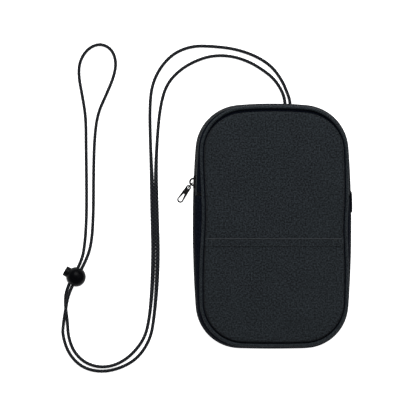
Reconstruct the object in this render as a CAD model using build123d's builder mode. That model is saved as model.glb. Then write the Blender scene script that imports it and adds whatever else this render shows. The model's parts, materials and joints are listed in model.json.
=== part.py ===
import os
from math import cos, pi, radians, sin, sqrt, tan

from build123d import *

# A neck pouch: a flat padded pouch with piped edges, a gusset with a zip over its top, a slip pocket on
# its front, and a neck cord that runs doubled through a ball cord lock.
#
# The pouch lies on its back. The origin is the middle of the back panel's outer face, +X is the wearer's
# left-hand edge as seen from the front, +Y points to the pouch's top and +Z out of its front. Millimetres.

# ---- Pouch body ----------------------------------------------------------------------------------------
pouch_width = 114.0  # across the back piping, at mid height
pouch_height = 176.4
pouch_depth = 20.0  # back face to front face, without the slip pocket
side_bow = 4.5  # how far the middle of a side stands out past its corners
top_bow = 5.0
bottom_bow = 1.8
top_corner_radius = 33.0
bottom_corner_radius = 32.0
front_width = 107.0  # the front panel is smaller than the back, straighter, and leans to the right
front_height = 174.6
front_side_bow = 1.5
front_shift = 1.3

fabric = 0.8  # outer fabric of the panels and the pocket
padding = 2.0
lining = 0.4
piping_radius = 1.4
wall = 1.2  # gusset fabric with its lining
wall_inset = 1.0  # from the piping's outside to the gusset's outside

pocket_mouth = -7.9  # level of the slip pocket's open edge
hem_width = 6.5
hem_thickness = 0.4

# ---- Zip -----------------------------------------------------------------------------------------------
zip_end_level = 22.0  # both ends of the zip
fold_level = 37.5  # the front folds outwards along this level when the zip is undone
fold_gap = 0.4
tape_width = 1.5  # what shows of each tape
tape_thickness = 0.5
coil_width = 1.5
coil_thickness = 1.4
coil_gap = 1.2  # the slider's post runs between the two coils
stop_length = 1.8
stop_level = 24.4
stop_proud = 0.2
end_cover_length = 18.0
end_cover_overlap = 4.0  # how far the cover reaches over the zip's end
end_cover_thickness = 1.5

# ---- Slider, link and pull tab -------------------------------------------------------------------------
slider_level = 31.7  # where the slider rests with the zip closed
slider_travel = 18.0
slider_length = 9.4
slider_half_width = 3.3
outer_plate = 1.0
inner_plate = 0.9
slide_clearance = 0.3
post_width = 0.6
post_length = 2.2
crown_radius = 2.4
crown_wire = 0.7  # wire radii
link_wire = 0.5
link_slack = 0.15  # inside the crown
link_clearance = 0.35  # above and below the pull tab
link_angle = 52.0  # from straight out of the zip, towards the pouch's bottom
tab_thickness = 1.2
tab_gap = 0.25  # between the crown and the pull tab's round end
tab_rim = 1.05
tab_eye_radius = 0.8
tab_length = 12.9  # from the eye's centre to the tip
tab_tip_radius = 2.3
tab_direction = 236.0  # degrees from +X
tab_window_radius = 1.3
tab_window_neck = 0.5
tab_window_from = 6.2
tab_window_to = 10.4
tab_edge = 0.25
tab_grooves = 5
tab_grip_place = 3.6
tab_groove_pitch = 0.75
tab_groove_length = 2.4
tab_groove_width = 0.4
tab_groove_depth = 0.15

# ---- Neck cord and cord lock ---------------------------------------------------------------------------
cord_diameter = 2.4
cord_clearance = 0.2
lock_radius = 7.1
lock_offset = 0.6  # the cord hole passes this far from the ball's centre, on the button's side
lock_hole_clearance = 0.3
lock_gap = 0.1
button_radius = 3.7
button_clearance = 0.08
button_reach = 9.3  # from the ball's centre to the button's face
button_travel = 1.6
button_web = 1.0
button_edge = 0.6
spring_length = 2.6
spring_radius = 1.9
spring_wire = 0.18
spring_turns = 3.0
spring_pocket_clearance = 0.4
anchor_length = 6.0
anchor_margin = 3.0
anchor_thickness = 2.6

run_share = 0.45  # of the shorter run beside a corner, taken up by the corner's arc
on_floor = cord_diameter / 2
at_exit = 4.4
in_lock = lock_radius

# The cord's route, point by point: from the pouch down to the lock, up and round the loop, back
# through the lock and up to the pouch again.
strand_down = [
    (9.4, 84.0, at_exit),
    (9.4, 89.4, at_exit),
    (7.6, 96.6, on_floor),
    (2.0, 105.6, on_floor),
    (-6.2, 112.3, on_floor),
    (-16.8, 118.6, on_floor),
    (-29.4, 122.6, on_floor),
    (-42.8, 122.9, on_floor),
    (-55.6, 118.9, on_floor),
    (-67.2, 111.9, on_floor),
    (-76.2, 101.6, on_floor),
    (-80.3, 87.0, on_floor),
    (-81.9, 68.0, on_floor),
    (-84.0, 40.0, on_floor),
    (-83.6, 10.0, on_floor),
    (-81.7, -19.0, on_floor),
    (-83.4, -44.0, on_floor),
    (-84.9, -66.0, on_floor),
    (-87.5, -81.0, on_floor),
    (-96.0, -94.6, on_floor),
    (-108.4, -102.2, on_floor),
    (-122.6, -105.3, on_floor),
    (-136.4, -102.2, on_floor),
    (-146.4, -92.2, on_floor),
    (-150.9, -78.6, on_floor),
    (-150.3, -70.5, on_floor),
    (-148.9, -62.5, 6.6),
]
lock_run_up = [(-146.1, -46.8, in_lock), (-134.6, -26.9, in_lock)]
loop = [
    (-130.0, -13.6, on_floor),
    (-128.6, 8.0, on_floor),
    (-128.5, 38.0, on_floor),
    (-127.9, 63.0, on_floor),
    (-125.6, 81.0, on_floor),
    (-119.0, 95.4, on_floor),
    (-113.4, 109.0, on_floor),
    (-112.2, 119.5, on_floor),
    (-116.0, 128.2, on_floor),
    (-124.4, 131.6, on_floor),
    (-133.0, 127.6, on_floor),
    (-138.6, 118.6, on_floor),
    (-139.3, 108.0, on_floor),
    (-136.6, 94.0, on_floor),
    (-134.0, 78.0, on_floor),
    (-133.9, 56.0, on_floor),
    (-133.5, 28.0, on_floor),
    (-133.6, 6.0, on_floor),
    (-134.6, -11.6, on_floor),
]
lock_run_down = [(-136.8, -25.5, in_lock), (-148.3, -45.4, in_lock)]
strand_up = [
    (-148.9, -57.5, on_floor),
    (-147.3, -68.5, on_floor),
    (-146.7, -80.0, on_floor),
    (-142.6, -90.8, on_floor),
    (-134.3, -98.9, on_floor),
    (-122.8, -102.0, on_floor),
    (-111.2, -99.7, on_floor),
    (-100.6, -92.4, on_floor),
    (-91.6, -80.6, on_floor),
    (-88.4, -66.0, on_floor),
    (-86.8, -44.0, on_floor),
    (-85.5, -18.0, on_floor),
    (-86.3, 10.0, on_floor),
    (-86.8, 38.0, on_floor),
    (-87.8, 66.0, on_floor),
    (-88.0, 88.0, on_floor),
    (-86.2, 102.6, on_floor),
    (-79.8, 115.4, on_floor),
    (-70.0, 125.1, on_floor),
    (-56.6, 129.9, on_floor),
    (-41.4, 129.4, on_floor),
    (-26.6, 127.6, on_floor),
    (-12.4, 122.9, on_floor),
    (-0.6, 115.6, on_floor),
    (7.0, 105.4, on_floor),
    (10.9, 96.4, on_floor),
    (13.1, 89.6, at_exit),
    (13.1, 84.0, at_exit),
]
cord_points = [Vector(*p) for p in strand_down + lock_run_up + loop + lock_run_down + strand_up]

# ---- Levels and places that follow from the sizes above ------------------------------------------------
reach = 4 * pouch_height  # past the pouch on every side
piping_top = 2 * piping_radius  # flat ledge of the back piping, where the gusset stands
front_ledge = pouch_depth - 2 * piping_radius
wall_inner = wall_inset + wall
panel_inset = 2 * piping_radius
back_lining_top = fabric + padding + lining
zip_middle = pouch_depth / 2
coil_inner_edge = coil_gap / 2
coil_outer_edge = coil_inner_edge + coil_width
tape_outer_edge = coil_outer_edge + tape_width
tape_inset = wall_inset + (coil_thickness - tape_thickness) / 2
coil_back = wall_inset + coil_thickness
above_fold = fold_level + fold_gap / 2
below_fold = fold_level - fold_gap / 2
coil_end_level = stop_level + stop_length
upwards = Vector(0, 0, 1)
upright = (Align.CENTER, Align.CENTER, Align.MIN)

os.makedirs("parts", exist_ok=True)


def finish(piece, name):
    """Label a finished piece and write it to its own file."""
    piece.label = name
    export_step(piece, f"parts/{name}.step")


def bow_radius(half_length, bow):
    """The radius of an edge that stands out by this bow over this half length."""
    return (half_length**2 + bow**2) / (2 * bow)


def panel_outline(width, height, sides, inset=0.0, shift=0.0):
    """A panel's outline: four bowed edges with rounded corners, drawn this far inside its full size."""
    side_radius = bow_radius((height - top_bow - bottom_bow) / 2, sides)
    side_centre = side_radius - width / 2
    with BuildSketch() as shape:
        Rectangle(2 * width, 2 * height)
        for x in (-side_centre, side_centre):
            with Locations((x, 0)):
                Circle(side_radius - inset, mode=Mode.INTERSECT)
        for end, bow in ((1, top_bow), (-1, bottom_bow)):
            end_radius = bow_radius(width / 2 - sides, bow)
            with Locations((0, end * (height / 2 - end_radius))):
                Circle(end_radius - inset, mode=Mode.INTERSECT)
        fillet(shape.vertices().group_by(Axis.Y)[-1], top_corner_radius - inset)
        fillet(shape.vertices().group_by(Axis.Y)[0], bottom_corner_radius - inset)
    return shape.sketch.moved(Location((shift, 0)))


def back_outline(inset=0.0):
    """The pouch's full outline, which the back panel and the gusset follow."""
    return panel_outline(pouch_width, pouch_height, side_bow, inset)


def front_outline(inset=0.0):
    """The front panel's outline."""
    return panel_outline(front_width, front_height, front_side_bow, inset, front_shift)


def standing_strip(outer, inner, bottom, top):
    """A strip of cloth on edge, all round the pouch, between two insets and two heights."""
    with BuildPart() as strip:
        with BuildSketch(Plane.XY.offset(bottom)):
            add(back_outline(outer))
            add(back_outline(inner), mode=Mode.SUBTRACT)
        extrude(amount=top - bottom)
    return strip.part


def flat_layer(outline, bottom, thickness):
    """A flat layer of a panel."""
    with BuildPart() as layer:
        with BuildSketch(Plane.XY.offset(bottom)):
            add(outline)
        extrude(amount=thickness)
    return layer.part


def half(whole, side):
    """The left (-1) or right (+1) half of a solid."""
    with BuildPart() as piece:
        add(whole)
        with Locations((side * reach / 2, 0, 0)):
            Box(reach, reach, reach, mode=Mode.INTERSECT)
    return piece.part


def between(whole, low, high):
    """The part of a solid between two levels along Y."""
    with BuildPart() as piece:
        add(whole)
        with Locations((0, (low + high) / 2, 0)):
            Box(reach, high - low, reach, mode=Mode.INTERSECT)
    return piece.part


def piping(outline, height, ledge):
    """Piping round a panel: a round cord in a folded strip, whose seam makes a flat ledge on one side."""
    path = outline.wires()[0]
    start = path @ 0
    inwards = upwards.cross(path % 0)
    if inwards.dot(start) > 0:
        inwards = inwards * -1
    section = Plane(
        origin=(start.X, start.Y, height), x_dir=inwards, z_dir=inwards.cross(upwards)
    )
    with BuildPart() as tube:
        with BuildSketch(section):
            Circle(piping_radius)
            Rectangle(piping_radius, piping_radius, align=(Align.MIN, ledge))
        sweep(path=path.moved(Location((0, 0, height))))
    return tube.part


# ---- Back of the pouch ---------------------------------------------------------------------------------
finish(flat_layer(back_outline(panel_inset), 0, fabric), "back_panel")
finish(flat_layer(back_outline(panel_inset), fabric, padding), "back_padding")
finish(flat_layer(back_outline(wall_inner), fabric + padding, lining), "back_lining")
finish(piping(back_outline(piping_radius), piping_radius, Align.MIN), "back_piping")

# ---- Front of the pouch: a lower part that stays, and an upper part that folds out ---------------------
lining_level = pouch_depth - fabric - padding - lining
front_layers = {
    "panel": flat_layer(front_outline(panel_inset), pouch_depth - fabric, fabric),
    "padding": flat_layer(front_outline(panel_inset), pouch_depth - fabric - padding, padding),
    "lining": flat_layer(front_outline(panel_inset), lining_level, lining),
    "piping": piping(front_outline(piping_radius), pouch_depth - piping_radius, Align.MAX),
}
for name, layer in front_layers.items():
    finish(between(layer, -reach / 2, below_fold), f"front_{name}")
    finish(between(layer, above_fold, reach / 2), f"flap_{name}")

pocket_cloth = flat_layer(front_outline(panel_inset), pouch_depth, fabric)
finish(between(pocket_cloth, -reach / 2, pocket_mouth), "pocket_panel")
hem_cloth = flat_layer(front_outline(panel_inset), pouch_depth + fabric, hem_thickness)
finish(between(hem_cloth, pocket_mouth - hem_width, pocket_mouth), "pocket_hem")

# ---- Gusset --------------------------------------------------------------------------------------------
zip_back = zip_middle - tape_outer_edge
zip_front = zip_middle + tape_outer_edge

with BuildPart() as shoulder:  # slopes in from the zip to the smaller front panel
    with BuildSketch(Plane.XY.offset(zip_front)):
        add(back_outline(wall_inset))
    with BuildSketch(Plane.XY.offset(front_ledge)):
        add(front_outline(piping_radius))
    loft()
    with BuildSketch(Plane.XY.offset(zip_front)):
        add(back_outline(wall_inner))
    with BuildSketch(Plane.XY.offset(front_ledge)):
        add(front_outline(piping_radius + wall))
    loft(mode=Mode.SUBTRACT)

full_wall = standing_strip(wall_inset, wall_inner, piping_top, zip_front)
with BuildPart() as gusset:
    add(between(full_wall, -reach / 2, zip_end_level))
    add(between(shoulder.part, -reach / 2, zip_end_level))
finish(gusset.part, "gusset")

back_wall = standing_strip(wall_inset, wall_inner, piping_top, zip_back)
with BuildPart() as gusset_back_strip:
    add(between(back_wall, zip_end_level, reach / 2))
    for end in (cord_points[0], cord_points[-1]):
        with Locations(Plane(origin=end, z_dir=(0, 1, 0))):
            Cylinder(cord_diameter / 2 + cord_clearance, reach, align=upright, mode=Mode.SUBTRACT)
finish(gusset_back_strip.part, "gusset_back_strip")
finish(between(shoulder.part, zip_end_level, below_fold), "gusset_front_sides")
finish(between(shoulder.part, above_fold, reach / 2), "flap_gusset_strip")

# ---- Zip -----------------------------------------------------------------------------------------------
tape_back = tape_inset + tape_thickness
back_tape = standing_strip(tape_inset, tape_back, zip_back, zip_back + tape_width)
front_tape = standing_strip(tape_inset, tape_back, zip_front - tape_width, zip_front)
finish(between(back_tape, zip_end_level, reach / 2), "zip_tape_back")
finish(between(front_tape, zip_end_level, below_fold), "zip_tape_front_sides")
finish(between(front_tape, above_fold, reach / 2), "flap_zip_tape")

coil_low, coil_high = zip_middle - coil_outer_edge, zip_middle + coil_outer_edge
back_coil = standing_strip(wall_inset, coil_back, coil_low, coil_low + coil_width)
front_coil = standing_strip(wall_inset, coil_back, coil_high - coil_width, coil_high)
finish(between(back_coil, coil_end_level, reach / 2), "zip_coil_back")
finish(between(front_coil, coil_end_level, below_fold), "zip_coil_front_sides")
finish(between(front_coil, above_fold, reach / 2), "flap_zip_coil")

stop_inset = wall_inset - stop_proud
closed_stops = [
    standing_strip(stop_inset, coil_back, coil_low, coil_low + coil_width),
    standing_strip(stop_inset, coil_back, coil_high - coil_width, coil_high),
]
open_stop = standing_strip(wall_inset, coil_back, coil_low, coil_high)
with BuildPart() as zip_stops:  # one on each coil where the zip closes, one across both where it opens
    for stop in closed_stops:
        add(half(between(stop, stop_level, coil_end_level), -1))
    add(half(between(open_stop, stop_level, coil_end_level), 1))
finish(zip_stops.part, "zip_stops")

cover_top = zip_end_level + end_cover_overlap
cover = standing_strip(wall_inset - end_cover_thickness, wall_inset, zip_back, zip_front)
finish(half(between(cover, cover_top - end_cover_length, cover_top), 1), "zip_end_cover")

# ---- Slider --------------------------------------------------------------------------------------------
def side_at(level):
    """The left side of the pouch's outline at a level."""
    radius = bow_radius((pouch_height - top_bow - bottom_bow) / 2, side_bow)
    return Vector(radius - pouch_width / 2 - sqrt(radius**2 - level**2), level, zip_middle)


slider_place = side_at(slider_level)
travel = (side_at(slider_level + slider_travel) - slider_place).normalized()
outwards = upwards.cross(travel)
slider_plane = Plane(origin=slider_place, x_dir=travel, z_dir=outwards)
swing_plane = Plane(origin=slider_place, x_dir=travel, z_dir=(0, 0, 1))
outer_face = outer_plate + slide_clearance - wall_inset
flange_inner = coil_outer_edge + slide_clearance
flange_outer_depth = tape_inset - slide_clearance
flange_inner_depth = tape_back + slide_clearance
inner_plate_top = coil_back + slide_clearance
outer_plate_bottom = wall_inset - slide_clearance
flange_width = slider_half_width - flange_inner
flange_place = (slider_half_width + flange_inner) / 2
along_slider = Axis(slider_place, travel)

with BuildPart() as slider_body:
    for level, amount in ((outer_plate_bottom, outer_plate), (inner_plate_top, -inner_plate)):
        with BuildSketch(slider_plane.offset(-level)) as plate:
            Rectangle(slider_length, 2 * slider_half_width)
            fillet(plate.vertices().group_by(along_slider)[0], slider_half_width * 0.6)
            fillet(plate.vertices().group_by(along_slider)[-1], slider_half_width * 0.3)
        extrude(amount=amount)
    for level, end in ((outer_plate_bottom, flange_outer_depth), (inner_plate_top, flange_inner_depth)):
        with BuildSketch(slider_plane.offset(-level)):
            with Locations((0, flange_place), (0, -flange_place)):
                Rectangle(slider_length * 0.55, flange_width)
        extrude(amount=level - end)
    with BuildSketch(slider_plane.offset(-inner_plate_top)):
        with Locations((post_length - slider_length / 2, 0)):
            SlotOverall(post_length, post_width)
    extrude(amount=inner_plate_top - outer_plate_bottom)
    with BuildLine(swing_plane) as crown:
        CenterArc((0, outer_face), crown_radius, 0, 180)
    with BuildSketch(Plane(origin=crown.line @ 0, z_dir=crown.line % 0)):
        Circle(crown_wire)
    sweep(path=crown.line)
finish(slider_body.part, "slider_body")

# ---- Link: an upright oval ring through the slider's crown and the pull tab's eye ----------------------
tab_end_radius = tab_eye_radius + tab_rim
eye_distance = crown_radius + crown_wire + tab_gap + tab_end_radius
link_near = crown_radius - crown_wire - link_slack - link_wire
link_half_height = tab_thickness / 2 + link_clearance + link_wire
crown_centre = slider_place + outwards * outer_face
link_direction = outwards.rotate(Axis.Z, link_angle)
eye_centre = crown_centre + link_direction * eye_distance
link_plane = Plane(origin=crown_centre, x_dir=link_direction, z_dir=link_direction.cross(upwards))
near_bend, far_bend = link_near + link_half_height, eye_distance - link_half_height

with BuildPart() as puller_link:
    with BuildLine(link_plane) as ring:
        Line((near_bend, link_half_height), (far_bend, link_half_height))
        ThreePointArc((far_bend, link_half_height), (eye_distance, 0), (far_bend, -link_half_height))
        Line((far_bend, -link_half_height), (near_bend, -link_half_height))
        ThreePointArc((near_bend, -link_half_height), (link_near, 0), (near_bend, link_half_height))
    with BuildSketch(Plane(origin=ring.wire() @ 0, z_dir=ring.wire() % 0)):
        Circle(link_wire)
    sweep(path=ring.wire())
finish(puller_link.part, "puller_link")

# ---- Pull tab ------------------------------------------------------------------------------------------
tab_heading = Vector(cos(radians(tab_direction)), sin(radians(tab_direction)), 0)
tab_plane = Plane(origin=eye_centre, x_dir=tab_heading, z_dir=upwards)
with BuildSketch() as window:
    with Locations((tab_window_from, 0)):
        Circle(tab_window_neck)
    with Locations((tab_window_to, 0)):
        Circle(tab_window_radius)
    make_hull()
with BuildPart() as zip_puller:
    with BuildSketch(tab_plane):
        Circle(tab_end_radius)
        with Locations((tab_length - tab_tip_radius, 0)):
            Circle(tab_tip_radius)
        make_hull()
        Circle(tab_eye_radius, mode=Mode.SUBTRACT)
        add(window.sketch, mode=Mode.SUBTRACT)
    extrude(amount=tab_thickness / 2, both=True)
    rims = zip_puller.faces().filter_by(Axis.Z)
    fillet(rims.edges(), tab_edge)
    for side in (1, -1):
        with BuildSketch(tab_plane.offset(side * tab_thickness / 2)):
            with Locations((tab_grip_place, 0)):
                with GridLocations(tab_groove_pitch, 0, tab_grooves, 1):
                    SlotOverall(tab_groove_length, tab_groove_width, rotation=90)
        extrude(amount=-side * tab_groove_depth, mode=Mode.SUBTRACT)
finish(zip_puller.part, "zip_puller")

# ---- Cord lock -----------------------------------------------------------------------------------------
run_up = [Vector(*p) for p in lock_run_up]
run_down = [Vector(*p) for p in lock_run_down]
cord_axis = (run_up[1] - run_up[0]).normalized()
button_axis = upwards.cross(cord_axis)
hole_centre = (run_up[0] + run_up[1] + run_down[0] + run_down[1]) / 4
lock_centre = hole_centre - button_axis * lock_offset
cord_spread = (run_down[0] + run_down[1] - run_up[0] - run_up[1]).dot(button_axis) / 4
cord_bundle = cord_spread + cord_diameter / 2
button_plane = Plane(origin=lock_centre, x_dir=cord_axis, z_dir=button_axis)
hole_plane = Plane(origin=hole_centre, x_dir=button_axis, z_dir=cord_axis)
slot_low = lock_offset - cord_bundle - lock_gap
slot_high = lock_offset + cord_bundle + button_travel + lock_gap
button_inner = slot_low - button_web
bore_bottom = button_inner - button_travel - lock_gap
pocket_bottom = button_inner - spring_length

with BuildPart(button_plane) as lock_body:
    Sphere(lock_radius)
    with Locations((0, 0, bore_bottom)):
        Cylinder(button_radius + button_clearance, 2 * lock_radius, align=upright, mode=Mode.SUBTRACT)
    with Locations((0, 0, pocket_bottom)):
        Cylinder(spring_radius + spring_pocket_clearance, lock_radius, align=upright, mode=Mode.SUBTRACT)
    with BuildSketch(hole_plane):
        Circle(cord_bundle + lock_hole_clearance)
    extrude(amount=2 * lock_radius, both=True, mode=Mode.SUBTRACT)
finish(lock_body.part, "lock_body")

with BuildPart(button_plane) as lock_button:
    with Locations((0, 0, button_inner)):
        Cylinder(button_radius, button_reach - button_inner, align=upright)
    face = lock_button.faces().sort_by(Axis(lock_centre, button_axis))[-1]
    fillet(face.edges(), button_edge)
    with BuildSketch(Plane(origin=lock_centre, x_dir=button_axis, z_dir=cord_axis)):
        with Locations(((slot_low + slot_high) / 2, 0)):
            slot_height = cord_diameter + 2 * cord_clearance
            RectangleRounded(slot_high - slot_low, slot_height, slot_height * 0.4)
    extrude(amount=2 * button_radius, both=True, mode=Mode.SUBTRACT)
finish(lock_button.part, "lock_button")

with BuildPart() as lock_spring:
    coil_height = spring_length - 2 * spring_wire
    with BuildLine():
        coil = Helix(
            pitch=coil_height / spring_turns,
            height=coil_height,
            radius=spring_radius,
            center=lock_centre + button_axis * (pocket_bottom + spring_wire),
            direction=button_axis,
        )
    with BuildSketch(Plane(origin=coil @ 0, z_dir=coil % 0)):
        Circle(spring_wire)
    sweep()
finish(lock_spring.part, "lock_spring")

# ---- Neck cord and its anchor --------------------------------------------------------------------------
def corner_radii(points):
    """A radius for each corner of a cord's route, as large as the two runs beside it allow."""
    radii = []
    for before, corner, after in zip(points, points[1:], points[2:]):
        into, out_of = corner - before, after - corner
        turn = into.get_angle(out_of)
        radii.append(run_share * min(into.length, out_of.length) / tan(radians(turn / 2)))
    return radii


radii = corner_radii(cord_points)
with BuildPart() as neck_cord:
    with BuildLine() as route:
        FilletPolyline(*cord_points, radius=radii)
    with BuildSketch(Plane(origin=route.wire() @ 0, z_dir=route.wire() % 0)):
        Circle(cord_diameter / 2)
    sweep(path=route.wire())
finish(neck_cord.part, "neck_cord")

first, last = cord_points[0], cord_points[-1]
with BuildPart() as cord_anchor:
    with Locations(((first.X + last.X) / 2, first.Y, back_lining_top)):
        Box(
            last.X - first.X + 2 * anchor_margin,
            anchor_length,
            anchor_thickness,
            align=(Align.CENTER, Align.MAX, Align.MIN),
        )
finish(cord_anchor.part, "cord_anchor")

section = pi * cord_diameter**2 / 4
print("cord radii", [round(r, 1) for r in radii])
print("cord length", round(route.wire().length, 1), "volume / (section x length)",
      round(neck_cord.part.volume / section / route.wire().length, 4))

# What the record's joints need
print("slider travel", travel, "link pivot", crown_centre, "pull tab pivot", eye_centre)
print("lock axis", cord_axis, "button axis", button_axis)
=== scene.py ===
"""A padded neck pouch on its back: piped edges, a zip over its top, a slip pocket and a doubled neck cord.

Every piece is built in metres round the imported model, whose bodies are the pouch, its flap, the zip's
slider, link and pull tab, and the cord lock with its button.
"""

from __future__ import annotations

import json
import logging
import math
from dataclasses import dataclass
from enum import Enum
from typing import Callable, Sequence

import bmesh
import bpy
from mathutils import Matrix, Vector, noise
from mathutils.geometry import intersect_sphere_sphere_2d

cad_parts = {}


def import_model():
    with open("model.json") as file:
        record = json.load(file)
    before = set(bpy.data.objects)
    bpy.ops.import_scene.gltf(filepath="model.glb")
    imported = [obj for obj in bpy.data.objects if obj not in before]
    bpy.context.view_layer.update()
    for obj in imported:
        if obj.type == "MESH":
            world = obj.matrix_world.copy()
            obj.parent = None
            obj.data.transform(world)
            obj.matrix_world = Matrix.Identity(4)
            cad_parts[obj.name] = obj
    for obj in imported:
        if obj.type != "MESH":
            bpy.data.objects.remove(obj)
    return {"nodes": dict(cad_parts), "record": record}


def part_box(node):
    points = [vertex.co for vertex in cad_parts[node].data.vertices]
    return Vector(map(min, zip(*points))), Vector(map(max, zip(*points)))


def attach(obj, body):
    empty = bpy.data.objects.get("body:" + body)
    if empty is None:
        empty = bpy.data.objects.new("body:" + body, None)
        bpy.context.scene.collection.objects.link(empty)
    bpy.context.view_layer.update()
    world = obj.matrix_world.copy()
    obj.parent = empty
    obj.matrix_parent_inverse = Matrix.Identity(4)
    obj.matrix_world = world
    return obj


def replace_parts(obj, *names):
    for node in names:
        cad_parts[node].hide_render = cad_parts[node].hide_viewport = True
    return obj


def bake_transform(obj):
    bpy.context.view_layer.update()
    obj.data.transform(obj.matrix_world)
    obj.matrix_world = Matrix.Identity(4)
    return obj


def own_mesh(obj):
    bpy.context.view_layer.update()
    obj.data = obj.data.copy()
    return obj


LOG = logging.getLogger("neck_pouch")
MM = 0.001
UP = Vector((0, 0, 1))


class Body(Enum):
    """The moving bodies that pieces ride on."""

    POUCH = "pouch"
    FLAP = "flap"
    SLIDER = "slider"
    LINK = "link"
    PULLER = "puller"
    LOCK = "cord_lock"
    BUTTON = "button"


# ---- Finishes ------------------------------------------------------------------------------------------


class Coordinates(Enum):
    """Where a pattern is read from."""

    UV = "UV"
    OBJECT = "Object"


class Graph:
    """A material's node tree, with short ways to add and join nodes."""

    def __init__(self, name: str, roughness: float, specular: float) -> None:
        """Starts a material.

        Args:
            name: The material's name.
            roughness: The surface's roughness.
            specular: How strongly the surface reflects, from 0 to 1.
        """
        self.material = bpy.data.materials.new(name)
        self.material.use_nodes = True
        self.nodes = self.material.node_tree.nodes
        self.shader = self.nodes["Principled BSDF"]
        self.shader.inputs["Roughness"].default_value = roughness
        self.shader.inputs["Specular IOR Level"].default_value = specular

    def add(self, kind: str, inputs: dict | None = None, **settings: object) -> bpy.types.Node:
        """Adds a node.

        Args:
            kind: The node's type, without its ShaderNode prefix.
            inputs: Values for its inputs, or sockets to join to them, by name or number.
            **settings: Values for its properties.

        Returns:
            The node.
        """
        node = self.nodes.new("ShaderNode" + kind)
        for key, value in settings.items():
            setattr(node, key, value)
        for key, value in (inputs or {}).items():
            self.feed(node.inputs[key], value)
        return node

    def feed(self, socket: bpy.types.NodeSocket, value: object) -> None:
        """Joins a socket to an output, or sets its value."""
        if isinstance(value, bpy.types.NodeSocket):
            self.material.node_tree.links.new(value, socket)
        else:
            socket.default_value = value

    def math(self, operation: str, *values: object) -> bpy.types.NodeSocket:
        """Adds a Math node and returns its output."""
        return self.add("Math", dict(enumerate(values)), operation=operation).outputs[0]

    def ramp(self, factor: object, low: Sequence[float], high: Sequence[float]) -> bpy.types.NodeSocket:
        """Mixes two colours by a factor and returns the colour."""
        mix = self.add("Mix", {0: factor, 6: (*low, 1), 7: (*high, 1)}, data_type="RGBA")
        return mix.outputs[2]

    def noise(self, where: object, size: float, detail: float = 2.0) -> bpy.types.NodeSocket:
        """Adds a noise pattern whose lumps are about this size, in metres."""
        settings = {"Vector": where, "Scale": 1 / size, "Detail": detail}
        return self.add("TexNoise", settings).outputs[0]

    def bands(self, where: object, period: float, direction: str) -> bpy.types.NodeSocket:
        """Adds rounded bands with this period, in metres, that follow one another along a direction."""
        settings = {"Vector": where, "Scale": 2 * math.pi / 20 / period, "Distortion": 0.6, "Detail": 1.0}
        return self.add("TexWave", settings, bands_direction=direction).outputs[1]

    def finish(self, colour: object, height: object, depth: float) -> bpy.types.Material:
        """Joins the colour and the bump to the shader.

        Args:
            colour: The colour's output socket.
            height: The bump's height, from 0 to 1.
            depth: The bump's depth in metres.

        Returns:
            The material.
        """
        self.feed(self.shader.inputs["Base Color"], colour)
        bump = self.add("Bump", {"Height": height, "Distance": depth, "Strength": 1.0})
        self.feed(self.shader.inputs["Normal"], bump.outputs[0])
        return self.material


@dataclass(frozen=True)
class Cloth:
    """A woven cloth: two sets of threads, uneven dye and a soft sheen."""

    name: str
    dark: tuple[float, float, float]
    light: tuple[float, float, float]
    thread: float = 0.9 * MM
    grain: float = 1.3 * MM
    depth: float = 0.12 * MM
    roughness: float = 0.85
    specular: float = 0.08
    sheen: float = 0.04
    speckle: float = 3.6
    coordinates: Coordinates = Coordinates.UV

    def material(self) -> bpy.types.Material:
        """Builds the cloth's material."""
        graph = Graph(self.name, self.roughness, self.specular)
        graph.shader.inputs["Sheen Weight"].default_value = self.sheen
        graph.shader.inputs["Sheen Roughness"].default_value = 0.5
        where = graph.add("TexCoord").outputs[self.coordinates.value]
        warp = graph.bands(where, self.thread, "X")
        weft = graph.bands(where, self.thread, "Y")
        weave = graph.math("MAXIMUM", graph.math("MULTIPLY", warp, 0.9), weft)
        grain = graph.noise(where, self.grain)
        worn = graph.noise(where, 22 * MM)
        speckle = graph.math("MULTIPLY_ADD", graph.math("SUBTRACT", grain, 0.5), self.speckle, 0.45)
        shade = graph.math("MULTIPLY", speckle, graph.math("MULTIPLY_ADD", weave, 0.45, 0.55))
        shade = graph.math("MULTIPLY_ADD", graph.math("SUBTRACT", worn, 0.5), 0.25, shade)
        factor = graph.add("Clamp", {0: shade}).outputs[0]
        height = graph.math("MULTIPLY_ADD", grain, 0.6, graph.math("MULTIPLY", weave, 0.5))
        return graph.finish(graph.ramp(factor, self.dark, self.light), height, self.depth)


@dataclass(frozen=True)
class Braid:
    """A braided cord: a painted highlight on its knuckles and painted shade in its gaps, read from the cord's
    own attribute.
    """

    name: str
    dark: tuple[float, float, float]
    light: tuple[float, float, float]
    attribute: str

    def material(self) -> bpy.types.Material:
        """Builds the braid's material."""
        graph = Graph(self.name, 0.8, 0.02)
        knuckle = graph.add("Attribute", attribute_name=self.attribute).outputs["Fac"]
        where = graph.add("TexCoord").outputs["Object"]
        fibre = graph.noise(where, 0.35 * MM)
        # Near black in the gaps to light on the crowns: painted shade and painted highlight over the braid's
        # real relief.
        factor = graph.math("MULTIPLY", knuckle, graph.math("MULTIPLY_ADD", fibre, 0.8, 0.5))
        height = graph.math("MULTIPLY_ADD", fibre, 0.5, knuckle)
        return graph.finish(graph.ramp(factor, self.dark, self.light), height, 0.06 * MM)


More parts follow.
